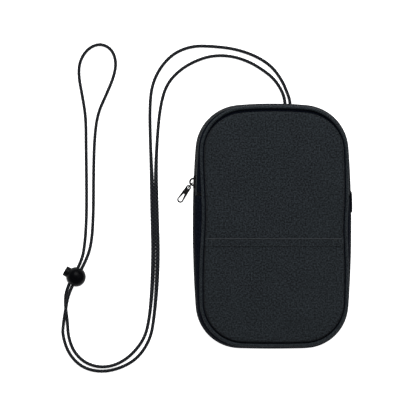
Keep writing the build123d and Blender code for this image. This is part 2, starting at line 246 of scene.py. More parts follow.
@dataclass(frozen=True)
class Hard:
    """A painted, moulded or bare hard surface with fine unevenness and rubbed patches."""

    name: str
    dark: tuple[float, float, float]
    light: tuple[float, float, float]
    roughness: float
    specular: float = 0.5
    metallic: float = 0.0
    coat: float = 0.0
    lump: float = 0.8 * MM
    depth: float = 0.01 * MM
    glow: float = 0.0

    def material(self) -> bpy.types.Material:
        """Builds the surface's material."""
        graph = Graph(self.name, self.roughness, self.specular)
        graph.shader.inputs["Metallic"].default_value = self.metallic
        graph.shader.inputs["Coat Weight"].default_value = self.coat
        graph.shader.inputs["Emission Color"].default_value = (1, 1, 1, 1)
        graph.shader.inputs["Emission Strength"].default_value = self.glow
        where = graph.add("TexCoord").outputs["Object"]
        fine = graph.noise(where, self.lump, 3.0)
        broad = graph.noise(where, 5 * MM)
        factor = graph.math("MULTIPLY_ADD", fine, 0.5, graph.math("MULTIPLY", broad, 0.5))
        return graph.finish(graph.ramp(factor, self.dark, self.light), fine, self.depth)


PANEL_CLOTH = Cloth("panel_cloth", (0.0024, 0.0033, 0.0041), (0.0205, 0.0255, 0.0298), grain=1.1 * MM,
                    speckle=3.1)
PIPING_CLOTH = Cloth("piping_cloth", (0.0030, 0.0042, 0.0052), (0.0230, 0.0280, 0.0325), thread=0.6 * MM,
                     grain=0.9 * MM, depth=0.05 * MM, roughness=0.6, specular=0.05, sheen=0.0)
GUSSET_CLOTH = Cloth("gusset_cloth", (0.0007, 0.0012, 0.0028), (0.0046, 0.0062, 0.0105), thread=0.6 * MM,
                     grain=0.8 * MM, depth=0.06 * MM, specular=0.02, sheen=0.0)
# Lighter than the panel: a painted highlight for light caught along the rolled edges of the pocket mouth and
# the front band.
HEM_HIGHLIGHT_CLOTH = Cloth("hem_highlight_cloth", (0.012, 0.014, 0.016), (0.034, 0.038, 0.042), thread=0.5 * MM,
                  grain=0.6 * MM, depth=0.04 * MM, specular=0.15, sheen=0.0)
LINING_CLOTH = Cloth("lining_cloth", (0.045, 0.047, 0.050), (0.11, 0.115, 0.12), thread=0.5 * MM,
                     grain=1.0 * MM, depth=0.04 * MM)
TAPE_CLOTH = Cloth("tape_cloth", (0.0010, 0.0011, 0.0014), (0.0060, 0.0064, 0.0075), thread=0.5 * MM,
                   grain=0.7 * MM, depth=0.05 * MM, specular=0.03, sheen=0.0)
THREAD = Cloth("thread", (0.010, 0.012, 0.013), (0.040, 0.045, 0.048), thread=0.2 * MM,
               grain=0.4 * MM, depth=0.03 * MM, sheen=0.0, coordinates=Coordinates.OBJECT)
CORD_BRAID = Braid("cord_braid", (0.0003, 0.0003, 0.0004), (0.042, 0.045, 0.052), "knuckle")
COIL_PLASTIC = Hard("coil_plastic", (0.0010, 0.0010, 0.0012), (0.0030, 0.0030, 0.0034), 0.45, specular=0.12)
SLIDER_PAINT = Hard("slider_paint", (0.0008, 0.0008, 0.0010), (0.0030, 0.0030, 0.0034), 0.3, specular=0.16)
PULLER_PAINT = Hard("puller_paint", (0.0008, 0.0008, 0.0010), (0.0026, 0.0026, 0.0030), 0.36, specular=0.12)
LOCK_PLASTIC = Hard("lock_plastic", (0.0004, 0.0004, 0.0007), (0.0014, 0.0014, 0.0022), 0.3, specular=0.03)
BUTTON_PLASTIC = Hard(
    "button_plastic", (0.0005, 0.0005, 0.0008), (0.0020, 0.0020, 0.0026), 0.4, specular=0.06
)
SPRING_STEEL = Hard("spring_steel", (0.40, 0.40, 0.41), (0.62, 0.62, 0.63), 0.3, metallic=1.0)
FLOOR = Hard("floor_paper", (0.93, 0.93, 0.93), (0.95, 0.95, 0.95), 0.9, specular=0.0, lump=0.4, glow=0.75)


class Finishes:
    """Makes each finish's material once."""

    def __init__(self) -> None:
        """Starts with no materials."""
        self.made: dict[str, bpy.types.Material] = {}

    def get(self, finish: Cloth | Braid | Hard) -> bpy.types.Material:
        """Returns a finish's material."""
        if finish.name not in self.made:
            self.made[finish.name] = finish.material()
        return self.made[finish.name]


FINISHES = Finishes()


# ---- Mesh tools ----------------------------------------------------------------------------------------


def loft(
    bm: bmesh.types.BMesh, sections: Sequence[Sequence[Vector]], closed: bool, planar: bool = False
) -> None:
    """Extrudes a row of points from section to section, and gives the faces UVs in metres.

    Args:
        bm: The mesh to add to.
        sections: The rows of points, all of one length.
        closed: Whether each row is a closed ring.
        planar: Whether the UVs are the X and Y of each corner, not lengths along the surface.
    """
    row = bm.verts.layers.int.get("row") or bm.verts.layers.int.new("row")
    uv = bm.loops.layers.uv.get("UVMap") or bm.loops.layers.uv.new("UVMap")
    count = len(sections[0])
    verts = [bm.verts.new(point) for point in sections[0]]
    for index, vert in enumerate(verts):
        vert[row] = index
    pairs = list(zip(verts, verts[1:] + verts[:1]))[: count if closed else count - 1]
    edges = [bm.edges.new(pair) for pair in pairs]
    across = [0.0]
    middle = sections[len(sections) // 2]
    for a, b in zip(middle, list(middle[1:]) + [middle[0]]):
        across.append(across[-1] + (b - a).length)
    along = 0.0
    for before, section in zip(sections, sections[1:]):
        made = bmesh.ops.extrude_edge_only(bm, edges=edges)["geom"]
        fresh = {item for item in made if isinstance(item, bmesh.types.BMVert)}
        for vert in fresh:
            vert.co = section[vert[row]]
        ahead = along + sum((b - a).length for a, b in zip(before, section)) / count
        for face in (item for item in made if isinstance(item, bmesh.types.BMFace)):
            wraps = closed and {loop.vert[row] for loop in face.loops} == {0, count - 1}
            for loop in face.loops:
                place = count if wraps and loop.vert[row] == 0 else loop.vert[row]
                travelled = ahead if loop.vert in fresh else along
                loop[uv].uv = loop.vert.co.xy if planar else (travelled, across[place])
        edges = [item for item in made if isinstance(item, bmesh.types.BMEdge) and set(item.verts) <= fresh]
        along = ahead


def close_up(bm: bmesh.types.BMesh, merge: float = 0.01 * MM) -> None:
    """Merges doubled points, fills open ends and turns the faces outwards."""
    bmesh.ops.remove_doubles(bm, verts=bm.verts, dist=merge)
    open_edges = [edge for edge in bm.edges if edge.is_boundary]
    if open_edges:
        bmesh.ops.holes_fill(bm, edges=open_edges, sides=0)
    bmesh.ops.recalc_face_normals(bm, faces=bm.faces)


def make_piece(
    bm: bmesh.types.BMesh, name: str, finish: Cloth | Braid | Hard, subdivide: int = 0
) -> bpy.types.Object:
    """Makes an object from a mesh.

    Args:
        bm: The finished mesh, which is freed.
        name: The piece's name.
        finish: Its finish.
        subdivide: How many times its surface is subdivided.

    Returns:
        The object.
    """
    mesh = bpy.data.meshes.new(name)
    bm.to_mesh(mesh)
    bm.free()
    mesh.materials.append(FINISHES.get(finish))
    mesh.shade_smooth()
    obj = bpy.data.objects.new(name, mesh)
    bpy.context.collection.objects.link(obj)
    if subdivide:
        smooth = obj.modifiers.new("smooth", "SUBSURF")
        smooth.levels = smooth.render_levels = subdivide
    LOG.info("%s: %d faces", name, len(mesh.polygons))
    return obj


def copies(
    template: bmesh.types.BMesh, places: Sequence[Matrix], name: str, finish: Cloth | Hard
) -> bpy.types.Object:
    """Makes one piece of many copies of a small shape.

    Args:
        template: The shape, which is freed.
        places: A matrix for each copy.
        name: The piece's name.
        finish: Its finish.

    Returns:
        The object.
    """
    one = bpy.data.meshes.new(name + "_one")
    template.to_mesh(one)
    template.free()
    bm = bmesh.new()
    for place in places:
        first = len(bm.verts)
        bm.from_mesh(one)
        bm.verts.ensure_lookup_table()
        bmesh.ops.transform(bm, matrix=place, verts=bm.verts[first:])
    bpy.data.meshes.remove(one)
    return make_piece(bm, name, finish)


def bead(length: float, width: float, height: float) -> bmesh.types.BMesh:
    """A stitch or tooth: a rounded bar along X, this long, wide along Y and high along Z."""
    bm = bmesh.new()
    bmesh.ops.create_uvsphere(bm, u_segments=8, v_segments=5, radius=0.5)
    for vert in bm.verts:
        vert.co = Vector([math.copysign(abs(c * 2) ** 0.7 / 2, c) for c in vert.co])
    bmesh.ops.scale(bm, vec=(length, width, height), verts=bm.verts)
    return bm


# ---- Outlines ------------------------------------------------------------------------------------------


@dataclass(frozen=True)
class Station:
    """A place on an outline: its point, the way out of the outline there, and how far round it is."""

    point: Vector
    outward: Vector
    travelled: float

    def at(self, inset: float, height: float) -> Vector:
        """The point this far inside the outline and this high."""
        return self.point - self.outward * inset + UP * height

    def turned(self, inset: float, height: float) -> Matrix:
        """A frame here, whose X follows the outline and whose Z points out of it."""
        along = UP.cross(self.outward)
        axes = Matrix((along, UP, self.outward)).transposed().to_4x4()
        return Matrix.Translation(self.at(inset, height)) @ axes


@dataclass(frozen=True)
class Pinch:
    """A soft waist in one side of an outline."""

    depth: float
    level: float
    reach: float

    def at(self, level: float) -> float:
        """How far the side is drawn in at a level along Y."""
        return self.depth * math.exp(-(((level - self.level) / self.reach) ** 2))


NO_PINCH = Pinch(0.0, 0.0, 1.0)


def bow_radius(half_length: float, bow: float) -> float:
    """The radius of an edge that stands out by this bow over this half length."""
    return (half_length**2 + bow**2) / (2 * bow)


@dataclass(frozen=True)
class Outline:
    """A panel's outline: four bowed edges joined by rounded corners, with a soft waist at each side."""

    width: float
    height: float
    shift: float = 0.0
    side_bow: float = 4.5 * MM
    left: Pinch = NO_PINCH
    right: Pinch = NO_PINCH
    top_bow: float = 5.0 * MM
    bottom_bow: float = 1.8 * MM
    top_corner: float = 33 * MM
    bottom_corner: float = 32 * MM
    steps: tuple[int, ...] = (12, 16, 44, 16, 24, 16, 44, 16, 12)

    def stations(self) -> list[Station]:
        """Goes once round the outline, anticlockwise from the middle of its bottom.

        Returns:
            The stations, of which the last is the first again.
        """
        side = bow_radius((self.height - self.top_bow - self.bottom_bow) / 2, self.side_bow)
        upper = bow_radius(self.width / 2 - self.side_bow, self.top_bow)
        lower = bow_radius(self.width / 2 - self.side_bow, self.bottom_bow)
        right, left = Vector((self.width / 2 - side, 0)), Vector((side - self.width / 2, 0))
        top, bottom = Vector((0, self.height / 2 - upper)), Vector((0, lower - self.height / 2))

        def corner(
            side_centre: Vector, end_centre: Vector, end: float, radius: float, x: int, y: int
        ) -> Vector:
            """The centre of a rounded corner between two bowed edges."""
            found = intersect_sphere_sphere_2d(side_centre, side - radius, end_centre, end - radius)
            return max(found, key=lambda point: point.x * x + point.y * y)

        low, high = self.bottom_corner, self.top_corner
        corners = [
            corner(right, bottom, lower, low, 1, -1),
            corner(right, top, upper, high, 1, 1),
            corner(left, top, upper, high, -1, 1),
            corner(left, bottom, lower, low, -1, -1),
        ]
        centres = [bottom, corners[0], right, corners[1], top, corners[2], left, corners[3], bottom]
        radii = [lower, low, side, high, upper, high, side, low, lower]
        turns = [-math.pi / 2]
        for big, small in zip((0, 2, 2, 4, 4, 6, 6, 8), (1, 1, 3, 3, 5, 5, 7, 7)):
            reach = centres[small] - centres[big]
            turns.append(math.atan2(reach.y, reach.x) % (2 * math.pi) - (2 * math.pi if not turns[1:] else 0))
        turns.append(1.5 * math.pi)
        turns[2] -= 2 * math.pi if turns[2] > math.pi else 0
        turns[3] -= 2 * math.pi if turns[3] > math.pi else 0
        found: list[Station] = []
        travelled = 0.0
        for centre, radius, start, stop, steps in zip(centres, radii, turns, turns[1:], self.steps):
            for step in range(steps + (not found)):
                share = min((step + bool(found)) / steps, 1.0)
                angle = start + (stop - start) * share
                outward = Vector((math.cos(angle), math.sin(angle), 0))
                point = Vector((*centre, 0)) + outward * radius + Vector((self.shift, 0, 0))
                pinch = self.left if outward.x < 0 else self.right
                point.x -= pinch.at(point.y) * outward.x
                travelled += (point - found[-1].point).length if found else 0.0
                found.append(Station(point, outward, travelled))
        return found

    def over_the_top(self, level: float, spacing: float | None = None) -> list[Station]:
        """The stretch from this level on the right side, over the top, to the same level on the left.

        Args:
            level: The Y at which both ends lie.
            spacing: The distance between stations, or None to keep the outline's own.

        Returns:
            The stations of the stretch.
        """
        ring = self.stations()
        path: list[Station] = []
        for a, b in zip(ring, ring[1:]):
            if (a.point.y < level) != (b.point.y < level):
                path.append(between(a, b, (level - a.point.y) / (b.point.y - a.point.y)))
            if b.point.y >= level:
                path.append(b)
        if ring[0].point.y >= level:
            raise ValueError("the outline starts above the level")
        path.sort(key=lambda station: station.travelled)
        if spacing is None:
            return path
        return resample(path, spacing)


def between(a: Station, b: Station, share: float) -> Station:
    """The station this share of the way from a to b."""
    return Station(
        a.point.lerp(b.point, share),
        a.outward.lerp(b.outward, share).normalized(),
        a.travelled + (b.travelled - a.travelled) * share,
    )


def resample(path: Sequence[Station], spacing: float) -> list[Station]:
    """Stations at an even spacing along a path, without its ends."""
    start, stop = path[0].travelled, path[-1].travelled
    count = round((stop - start) / spacing)
    places = [start + (index + 0.5) * (stop - start) / count for index in range(count)]
    found = []
    index = 0
    for place in places:
        while path[index + 1].travelled < place:
            index += 1
        a, b = path[index], path[index + 1]
        found.append(between(a, b, (place - a.travelled) / (b.travelled - a.travelled)))
    return found


BACK = Outline(114.4 * MM, 176.8 * MM)
FRONT = Outline(
    width=108.2 * MM,
    height=173.4 * MM,
    shift=1.1 * MM,
    side_bow=1.5 * MM,
    left=Pinch(2.2 * MM, 8 * MM, 30 * MM),
    right=Pinch(1.2 * MM, -3 * MM, 18 * MM),
)


def across_fold(piece: bpy.types.Object) -> None:
    """Bakes a piece's placement into its mesh, without joining it to any body."""
    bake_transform(piece)


# ---- Studio --------------------------------------------------------------------------------------------


@dataclass(frozen=True)
class Studio:
    """The camera, straight above the object, the floor and the lights."""

    centre: tuple[float, float] = (-46.1 * MM, 13.0 * MM)
    width: float = 299.5 * MM
    focus_height: float = 2 * MM
    distance: float = 2.6
    floor_size: float = 6.0

    def build(self) -> None:
        """Makes the camera, the floor and the lights."""
        scene = bpy.context.scene
        scene.view_settings.view_transform = "Standard"
        lens = bpy.data.cameras.new("camera")
        lens.sensor_width = 36
        lens.lens = 18 / (self.width / 2 / self.distance)
        lens.clip_end = 20
        camera = bpy.data.objects.new("camera", lens)
        camera.location = (*self.centre, self.focus_height + self.distance)
        scene.collection.objects.link(camera)
        scene.camera = camera
        self.light("key", (-0.05, 0.95, 1.2), 0.9, 27)
        self.light("fill", (0.8, 0.2, 1.2), 1.2, 4)
        world = bpy.data.worlds.new("studio")
        world.use_nodes = True
        world.node_tree.nodes["Background"].inputs[0].default_value = (0.97, 0.985, 1.0, 1)
        world.node_tree.nodes["Background"].inputs[1].default_value = 0.48
        scene.world = world
        bm = bmesh.new()
        bmesh.ops.create_grid(bm, x_segments=1, y_segments=1, size=self.floor_size / 2)
        floor = make_piece(bm, "floor", FLOOR)

    def light(self, name: str, place: tuple[float, float, float], size: float, power: float) -> None:
        """Adds a soft light that points at the object."""
        lamp = bpy.data.lights.new(name, "AREA")
        lamp.size = size
        lamp.energy = power
        light = bpy.data.objects.new(name, lamp)
        light.location = place
        light.rotation_euler = (-Vector(place)).to_track_quat("-Z", "Y").to_euler()
        bpy.context.collection.objects.link(light)


# ---- Neck cord -----------------------------------------------------------------------------------------

ON_FLOOR = 1.2
AT_EXIT = 4.4
IN_LOCK = 7.1
ROUTE = [
    # from the pouch down to the lock
    (9.4, 84.0, AT_EXIT), (9.4, 89.4, AT_EXIT), (7.6, 96.6, ON_FLOOR), (2.0, 105.6, ON_FLOOR),
    (-6.2, 112.3, ON_FLOOR), (-16.8, 118.6, ON_FLOOR), (-29.4, 122.6, ON_FLOOR), (-42.8, 122.9, ON_FLOOR),
    (-55.6, 118.9, ON_FLOOR), (-67.2, 111.9, ON_FLOOR), (-76.2, 101.6, ON_FLOOR), (-80.3, 87.0, ON_FLOOR),
    (-82.4, 68.0, ON_FLOOR), (-83.8, 40.0, ON_FLOOR), (-83.1, 10.0, ON_FLOOR), (-82.1, -19.0, ON_FLOOR),
    (-83.0, -44.0, ON_FLOOR), (-84.9, -66.0, ON_FLOOR), (-87.5, -81.0, ON_FLOOR), (-96.0, -94.6, ON_FLOOR),
    (-108.4, -102.2, ON_FLOOR), (-122.6, -105.3, ON_FLOOR), (-136.4, -102.2, ON_FLOOR),
    (-146.4, -92.2, ON_FLOOR), (-150.9, -78.6, ON_FLOOR), (-150.3, -70.5, ON_FLOOR), (-148.9, -62.5, 6.6),
    # through the lock, round the loop and back through the lock
    (-146.1, -46.8, IN_LOCK), (-134.6, -26.9, IN_LOCK), (-130.0, -13.6, ON_FLOOR), (-128.6, 8.0, ON_FLOOR),
    (-128.5, 38.0, ON_FLOOR), (-127.9, 63.0, ON_FLOOR), (-125.6, 81.0, ON_FLOOR), (-119.0, 95.4, ON_FLOOR),
    (-113.4, 109.0, ON_FLOOR), (-112.2, 119.5, ON_FLOOR), (-116.0, 128.2, ON_FLOOR),
    (-124.4, 131.6, ON_FLOOR), (-133.0, 127.6, ON_FLOOR), (-138.6, 118.6, ON_FLOOR),
    (-139.3, 108.0, ON_FLOOR), (-136.6, 94.0, ON_FLOOR), (-134.0, 78.0, ON_FLOOR), (-133.9, 56.0, ON_FLOOR),
    (-133.5, 28.0, ON_FLOOR), (-133.6, 6.0, ON_FLOOR), (-134.6, -11.6, ON_FLOOR), (-136.8, -25.5, IN_LOCK),
    (-148.3, -45.4, IN_LOCK),
    # and up to the pouch again
    (-148.9, -57.5, ON_FLOOR), (-147.3, -68.5, ON_FLOOR), (-146.7, -80.0, ON_FLOOR),
    (-142.6, -90.8, ON_FLOOR), (-134.3, -98.9, ON_FLOOR), (-122.8, -102.0, ON_FLOOR),
    (-111.2, -99.7, ON_FLOOR), (-100.6, -92.4, ON_FLOOR), (-91.6, -80.6, ON_FLOOR),
    (-88.2, -66.0, ON_FLOOR), (-86.2, -44.0, ON_FLOOR), (-85.3, -18.0, ON_FLOOR), (-86.1, 10.0, ON_FLOOR),
    (-86.7, 38.0, ON_FLOOR), (-87.8, 66.0, ON_FLOOR), (-88.0, 88.0, ON_FLOOR), (-86.2, 102.6, ON_FLOOR),
    (-79.8, 115.4, ON_FLOOR), (-70.0, 125.1, ON_FLOOR), (-56.6, 129.9, ON_FLOOR), (-41.4, 129.4, ON_FLOOR),
    (-26.6, 127.6, ON_FLOOR), (-12.4, 122.9, ON_FLOOR), (-0.6, 115.6, ON_FLOOR), (7.0, 105.4, ON_FLOOR),
    (10.9, 96.4, ON_FLOOR), (13.1, 89.6, AT_EXIT), (13.1, 84.0, AT_EXIT),
]


@dataclass
class NeckCord:
    """The neck cord: one braided cord from the pouch, twice through the lock, and back into the pouch."""

    diameter: float = 2.4 * MM
    length: float = 1220 * MM
    step: float = 0.36 * MM
    sides: int = 4
    plait: float = 5.2 * MM
    relief: float = 0.16 * MM
    spread: float = 0.08
    pressed: float = 0.4
    pressed_from: float = -84 * MM

    def centreline(self) -> list[Vector]:
        """Points along the cord's smooth route, an even step apart."""
        curve = self.curve("route", [Vector(point) * MM for point in ROUTE], "NURBS")
        spline = curve.data.splines[0]
        spline.order_u = 3
        spline.use_endpoint_u = True
        spline.resolution_u = 24
        mesh = bpy.data.meshes.new_from_object(curve)
        line = [vert.co.copy() for vert in mesh.vertices]
        bpy.data.meshes.remove(mesh)
        bpy.data.objects.remove(curve)
        points, left = [line[0]], self.step
        for a, b in zip(line, line[1:]):
            run = (b - a).length
            while left <= run:
                points.append(a.lerp(b, left / run))
                left += self.step
            left -= run
        return points

    def curve(self, name: str, points: Sequence[Vector], kind: str) -> bpy.types.Object:
        """A curve object of one open spline through or near these points."""
        data = bpy.data.curves.new(name, "CURVE")
        data.dimensions = "3D"
        spline = data.splines.new(kind)
        spline.points.add(len(points) - 1)
        for slot, point in zip(spline.points, points):
            slot.co = (*point, 1)
        obj = bpy.data.objects.new(name, data)
        bpy.context.collection.objects.link(obj)
        return obj

    def flattening(self, point: Vector) -> float:
        """How much wider than round the braid lies at a point, most where its strands are pressed."""
        across = math.exp(-(((point.x - self.pressed_from) / (6 * MM)) ** 2))
        along = math.exp(-(((point.y + 5 * MM) / (52 * MM)) ** 4))
        return self.spread + self.pressed * across * along

    def build(self, spring: bpy.types.Object) -> None:
        """Makes the cord as a tube with the braid's knuckles in its surface.

        Args:
            spring: The lock's spring, which sits on the cord with the lock; not used.
        """
        line = self.centreline()
        tube = self.curve("tube", line, "POLY")
        tube.data.bevel_depth = self.diameter / 2
        tube.data.bevel_resolution = self.sides
        tube.data.use_fill_caps = True
        mesh = bpy.data.meshes.new_from_object(tube)
        bpy.data.objects.remove(tube)
        mesh.name = "neck_cord_braid"
        around = 2 * (self.sides + 2)
        knuckles = mesh.attributes.new("knuckle", "FLOAT", "POINT")
        count = len(line) * around
        for index, vert in enumerate(mesh.vertices):
            if index >= count:
                break
            ring, side = divmod(index, around)
            turn, travelled = 2 * math.pi * side / around, ring * self.step / self.plait * 2 * math.pi
            over = math.cos(2 * turn + travelled) * math.cos(2 * turn - travelled)
            knuckle = abs(over) ** 1.5
            # The same value sinks the gaps and, in the material, paints them darker and the knuckles lighter
            # as painted shade and highlight.
            knuckles.data[index].value = knuckle
            inwards = (line[ring] - vert.co).normalized()
            vert.co += inwards * self.relief * (1 - knuckle)
            aside = vert.co - line[ring]
            spread = self.flattening(line[ring])
            vert.co += Vector((aside.x * spread, aside.y * spread, -aside.z * spread))
        mesh.materials.clear()
        mesh.materials.append(FINISHES.get(CORD_BRAID))
        mesh.shade_smooth()
        cord = bpy.data.objects.new("neck_cord_braid", mesh)
        bpy.context.collection.objects.link(cord)
        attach(cord, Body.POUCH.value)
        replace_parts(cord, "neck_cord")
        LOG.info("neck cord: %d rings", len(line))


# ---- Padded panels -------------------------------------------------------------------------------------


def shrunk(
    outline: Outline, inset: float, share: float, height: float, top_extra: float = 0.0
) -> list[Vector]:
    """A ring inside an outline, part of the way in to the middle line of the panel.

    Args:
        outline: The panel's outline.
        inset: How far inside the outline the full ring lies.
        share: 1 for the full ring, and 0 for the panel's middle line.
        height: The ring's height.
        top_extra: How much further inside the ring lies at the outline's top.

    Returns:
        The ring's points.
    """
    reach = (outline.height - outline.width) / outline.height
    ring = []
    for station in outline.stations()[:-1]:
        point = station.at(inset + top_extra * max(0.0, station.outward.y) ** 2, height)
        middle = Vector((outline.shift, point.y * reach, height))
        ring.append(middle.lerp(point, share))
    return ring


@dataclass
class FrontCover:
    """The padded front: outer cloth over foam, sewn down along the piping, with the slip pocket on it."""

    edge_inset: float = 3.25 * MM
    top_inset: float = 1.3 * MM
    groove_height: float = 17.2 * MM
    face_height: float = 19.6 * MM
    crown: float = 0.75 * MM
    under_height: float = 16.7 * MM
    mouth: float = -8.5 * MM
    hem: float = 6.0 * MM
    gape: float = 0.7 * MM
    gape_reach: float = 14 * MM

    def rings(self) -> list[list[Vector]]:
        """The rings from the middle of the underside, round the edge, to the middle of the face."""
        edge, under, groove = self.edge_inset, self.under_height, self.groove_height
        plan = [(edge, share, under) for share in (0.0, 0.2, 0.4, 0.6, 0.8, 0.92)]
        plan.append((edge + 0.3 * MM, 1.0, under + 0.2 * MM))
        plan.append((edge, 1.0, groove - 0.3 * MM))
        rise = self.face_height - groove
        for inset, share in ((0.0, 0.0), (0.3, 0.4), (0.9, 0.72), (1.8, 0.91), (3.4, 1.0)):
            plan.append((edge + inset * MM, 1.0, groove + rise * share))
        for step in range(22, -1, -2):
            share = step / 25
            plan.append((edge, share, self.face_height + self.crown * (1 - share**3)))
        rings = [shrunk(FRONT, inset, share, height, self.top_inset) for inset, share, height in plan]
        return rings

    def build(self) -> None:
        """Makes the cover, the pocket and its hem."""
        bm = bmesh.new()
        loft(bm, self.rings(), closed=True, planar=True)
        for vert in bm.verts:
            if vert.co.z > self.face_height - 0.3 * MM:
                vert.co.z += 0.35 * MM * noise.noise(vert.co * 45) + 0.12 * MM * noise.noise(vert.co * 160)
        close_up(bm, 0.3 * MM)
        cover = make_piece(bm, "front_cover", PANEL_CLOTH, subdivide=1)
        cover.data.materials.append(FINISHES.get(LINING_CLOTH))
        for face in cover.data.polygons:
            if face.normal.z < -0.5:
                face.material_index = 1
        pocket = self.layer(cover, "pocket_cloth", -1.0, self.mouth, 0.12 * MM, 0.5 * MM, 1.3 * MM)
        low, high = self.mouth - self.hem, self.mouth + 0.15 * MM
        hem = self.layer(cover, "pocket_fold", low, high, 0.6 * MM, 0.4 * MM, 1.5 * MM)
        self.mouth_edge(cover)
        across_fold(cover)
        layers = ("panel", "padding", "lining")
        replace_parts(cover, *(f"{side}_{layer}" for side in ("front", "flap") for layer in layers))
        for piece, node in ((pocket, "pocket_panel"), (hem, "pocket_hem")):
            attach(piece, Body.POUCH.value)
            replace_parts(piece, node)

    def layer(
        self,
        cover: bpy.types.Object,
        name: str,
        low: float,
        high: float,
        lift: float,
        thickness: float,
        trim: float,
    ) -> bpy.types.Object:
        """A second layer of cloth on the cover's face, between two levels along Y.

        Args:
            cover: The cover it lies on.
            name: The piece's name.
            low: Its lowest Y.
            high: Its highest Y.
            lift: The gap between the cover and the layer.
            thickness: The layer's thickness.
            trim: How far inside the cover's edge the layer ends.

        Returns:
            The layer.
        """
        bm = bmesh.new()
        bm.from_mesh(cover.data)
        floor = self.face_height - trim
        gone = [face for face in bm.faces if face.normal.z < 0.3 or min(v.co.z for v in face.verts) < floor]
        bmesh.ops.delete(bm, geom=gone, context="FACES")
        for level, sign in ((low, -1), (high, 1)):
            everything = [*bm.verts, *bm.edges, *bm.faces]
            bmesh.ops.bisect_plane(
                bm, geom=everything, plane_co=(0, level, 0), plane_no=(0, sign, 0), clear_outer=True
            )
        for vert in bm.verts:
            vert.co.z += lift + self.gaping(vert.co)
        piece = make_piece(bm, name, PANEL_CLOTH)
        wall = piece.modifiers.new("wall", "SOLIDIFY")
        wall.thickness = thickness
        wall.offset = 1.0
        edge = piece.modifiers.new("edge", "BEVEL")
        edge.width = thickness * 0.35
        edge.segments = 2
        return piece


    def gaping(self, point: Vector) -> float:
        """How far the pocket stands off the cover at a point: a little at the middle of its mouth."""
        near = max(0.0, 1 - (self.mouth - point.y) / self.gape_reach)
        aside = min(1.0, abs(point.x - FRONT.shift) / (FRONT.width / 2))
        return self.gape * near**2 * (1 - aside**4)

    def face_line(self, cover: bpy.types.Object, level: float, lift: float) -> list[Vector]:
        """Points across the cover's face at a level, from edge to edge.

        Args:
            cover: The cover.
            level: The line's Y.
            lift: How far above the face the line runs.

        Returns:
            The points, from left to right.
        """
        bm = bmesh.new()
        bm.from_mesh(cover.data)
        everything = [*bm.verts, *bm.edges, *bm.faces]
        halves = bmesh.ops.bisect_plane(bm, geom=everything, plane_co=(0, level, 0), plane_no=(0, 1, 0))
        points = [v.co.copy() for v in halves["geom_cut"] if isinstance(v, bmesh.types.BMVert)]
        face = [point for point in points if point.z > self.face_height - 1.3 * MM]
        bm.free()
        face.sort(key=lambda point: point.x)
        return [point + UP * (lift + self.gaping(point)) for point in face]

    def mouth_edge(self, cover: bpy.types.Object) -> None:
        """Makes the pocket mouth's rolled edge with its painted highlight, the hem's row of stitches and a
        bar tack at each end.
        """
        line = self.face_line(cover, self.mouth - 0.5 * MM, 0.95 * MM)
        roll = thin_roll("pocket_mouth_roll", line, 0.45 * MM)
        level = self.mouth - self.hem + 0.5 * MM
        line = self.face_line(cover, level, 1.02 * MM)
        seam = stitch_row("pocket_hem_stitches", line, [UP] * len(line))
        places = []
        for end in (self.face_line(cover, self.mouth - 1.2 * MM, 1.05 * MM)[index] for index in (3, -4)):
            for step in range(6):
                turn = Matrix.Rotation(math.radians(80 if step % 2 else 100), 4, "Z")
                places.append(Matrix.Translation(end + Vector(((step - 2.5) * 0.4 * MM, 0, 0))) @ turn)
        tacks = copies(bead(1.9 * MM, 0.3 * MM, 0.3 * MM), places, "pocket_bar_tacks", THREAD)
        for piece in (roll, seam, tacks):
            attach(piece, Body.POUCH.value)


def thin_roll(name: str, line: Sequence[Vector], radius: float, sides: int = 8) -> bpy.types.Object:
    """A thin rolled edge along a line, in a lighter cloth that is a painted highlight where the fold catches
    light.

    Args:
        name: The piece's name.
        line: The line's points.
        radius: The roll's radius.
        sides: How many sides its section has.

    Returns:
        The roll.
    """
    sections = []
    for index, point in enumerate(line):
        along = (line[min(index + 1, len(line) - 1)] - line[max(index - 1, 0)]).normalized()
        across = UP.cross(along).normalized()
        lift = along.cross(across)
        turns = [2 * math.pi * side / sides for side in range(sides)]
        sections.append(
            [point + (across * math.cos(turn) + lift * math.sin(turn)) * radius for turn in turns]
        )
    bm = bmesh.new()
    loft(bm, sections, closed=True)
    close_up(bm)
    return make_piece(bm, name, HEM_HIGHLIGHT_CLOTH, subdivide=1)


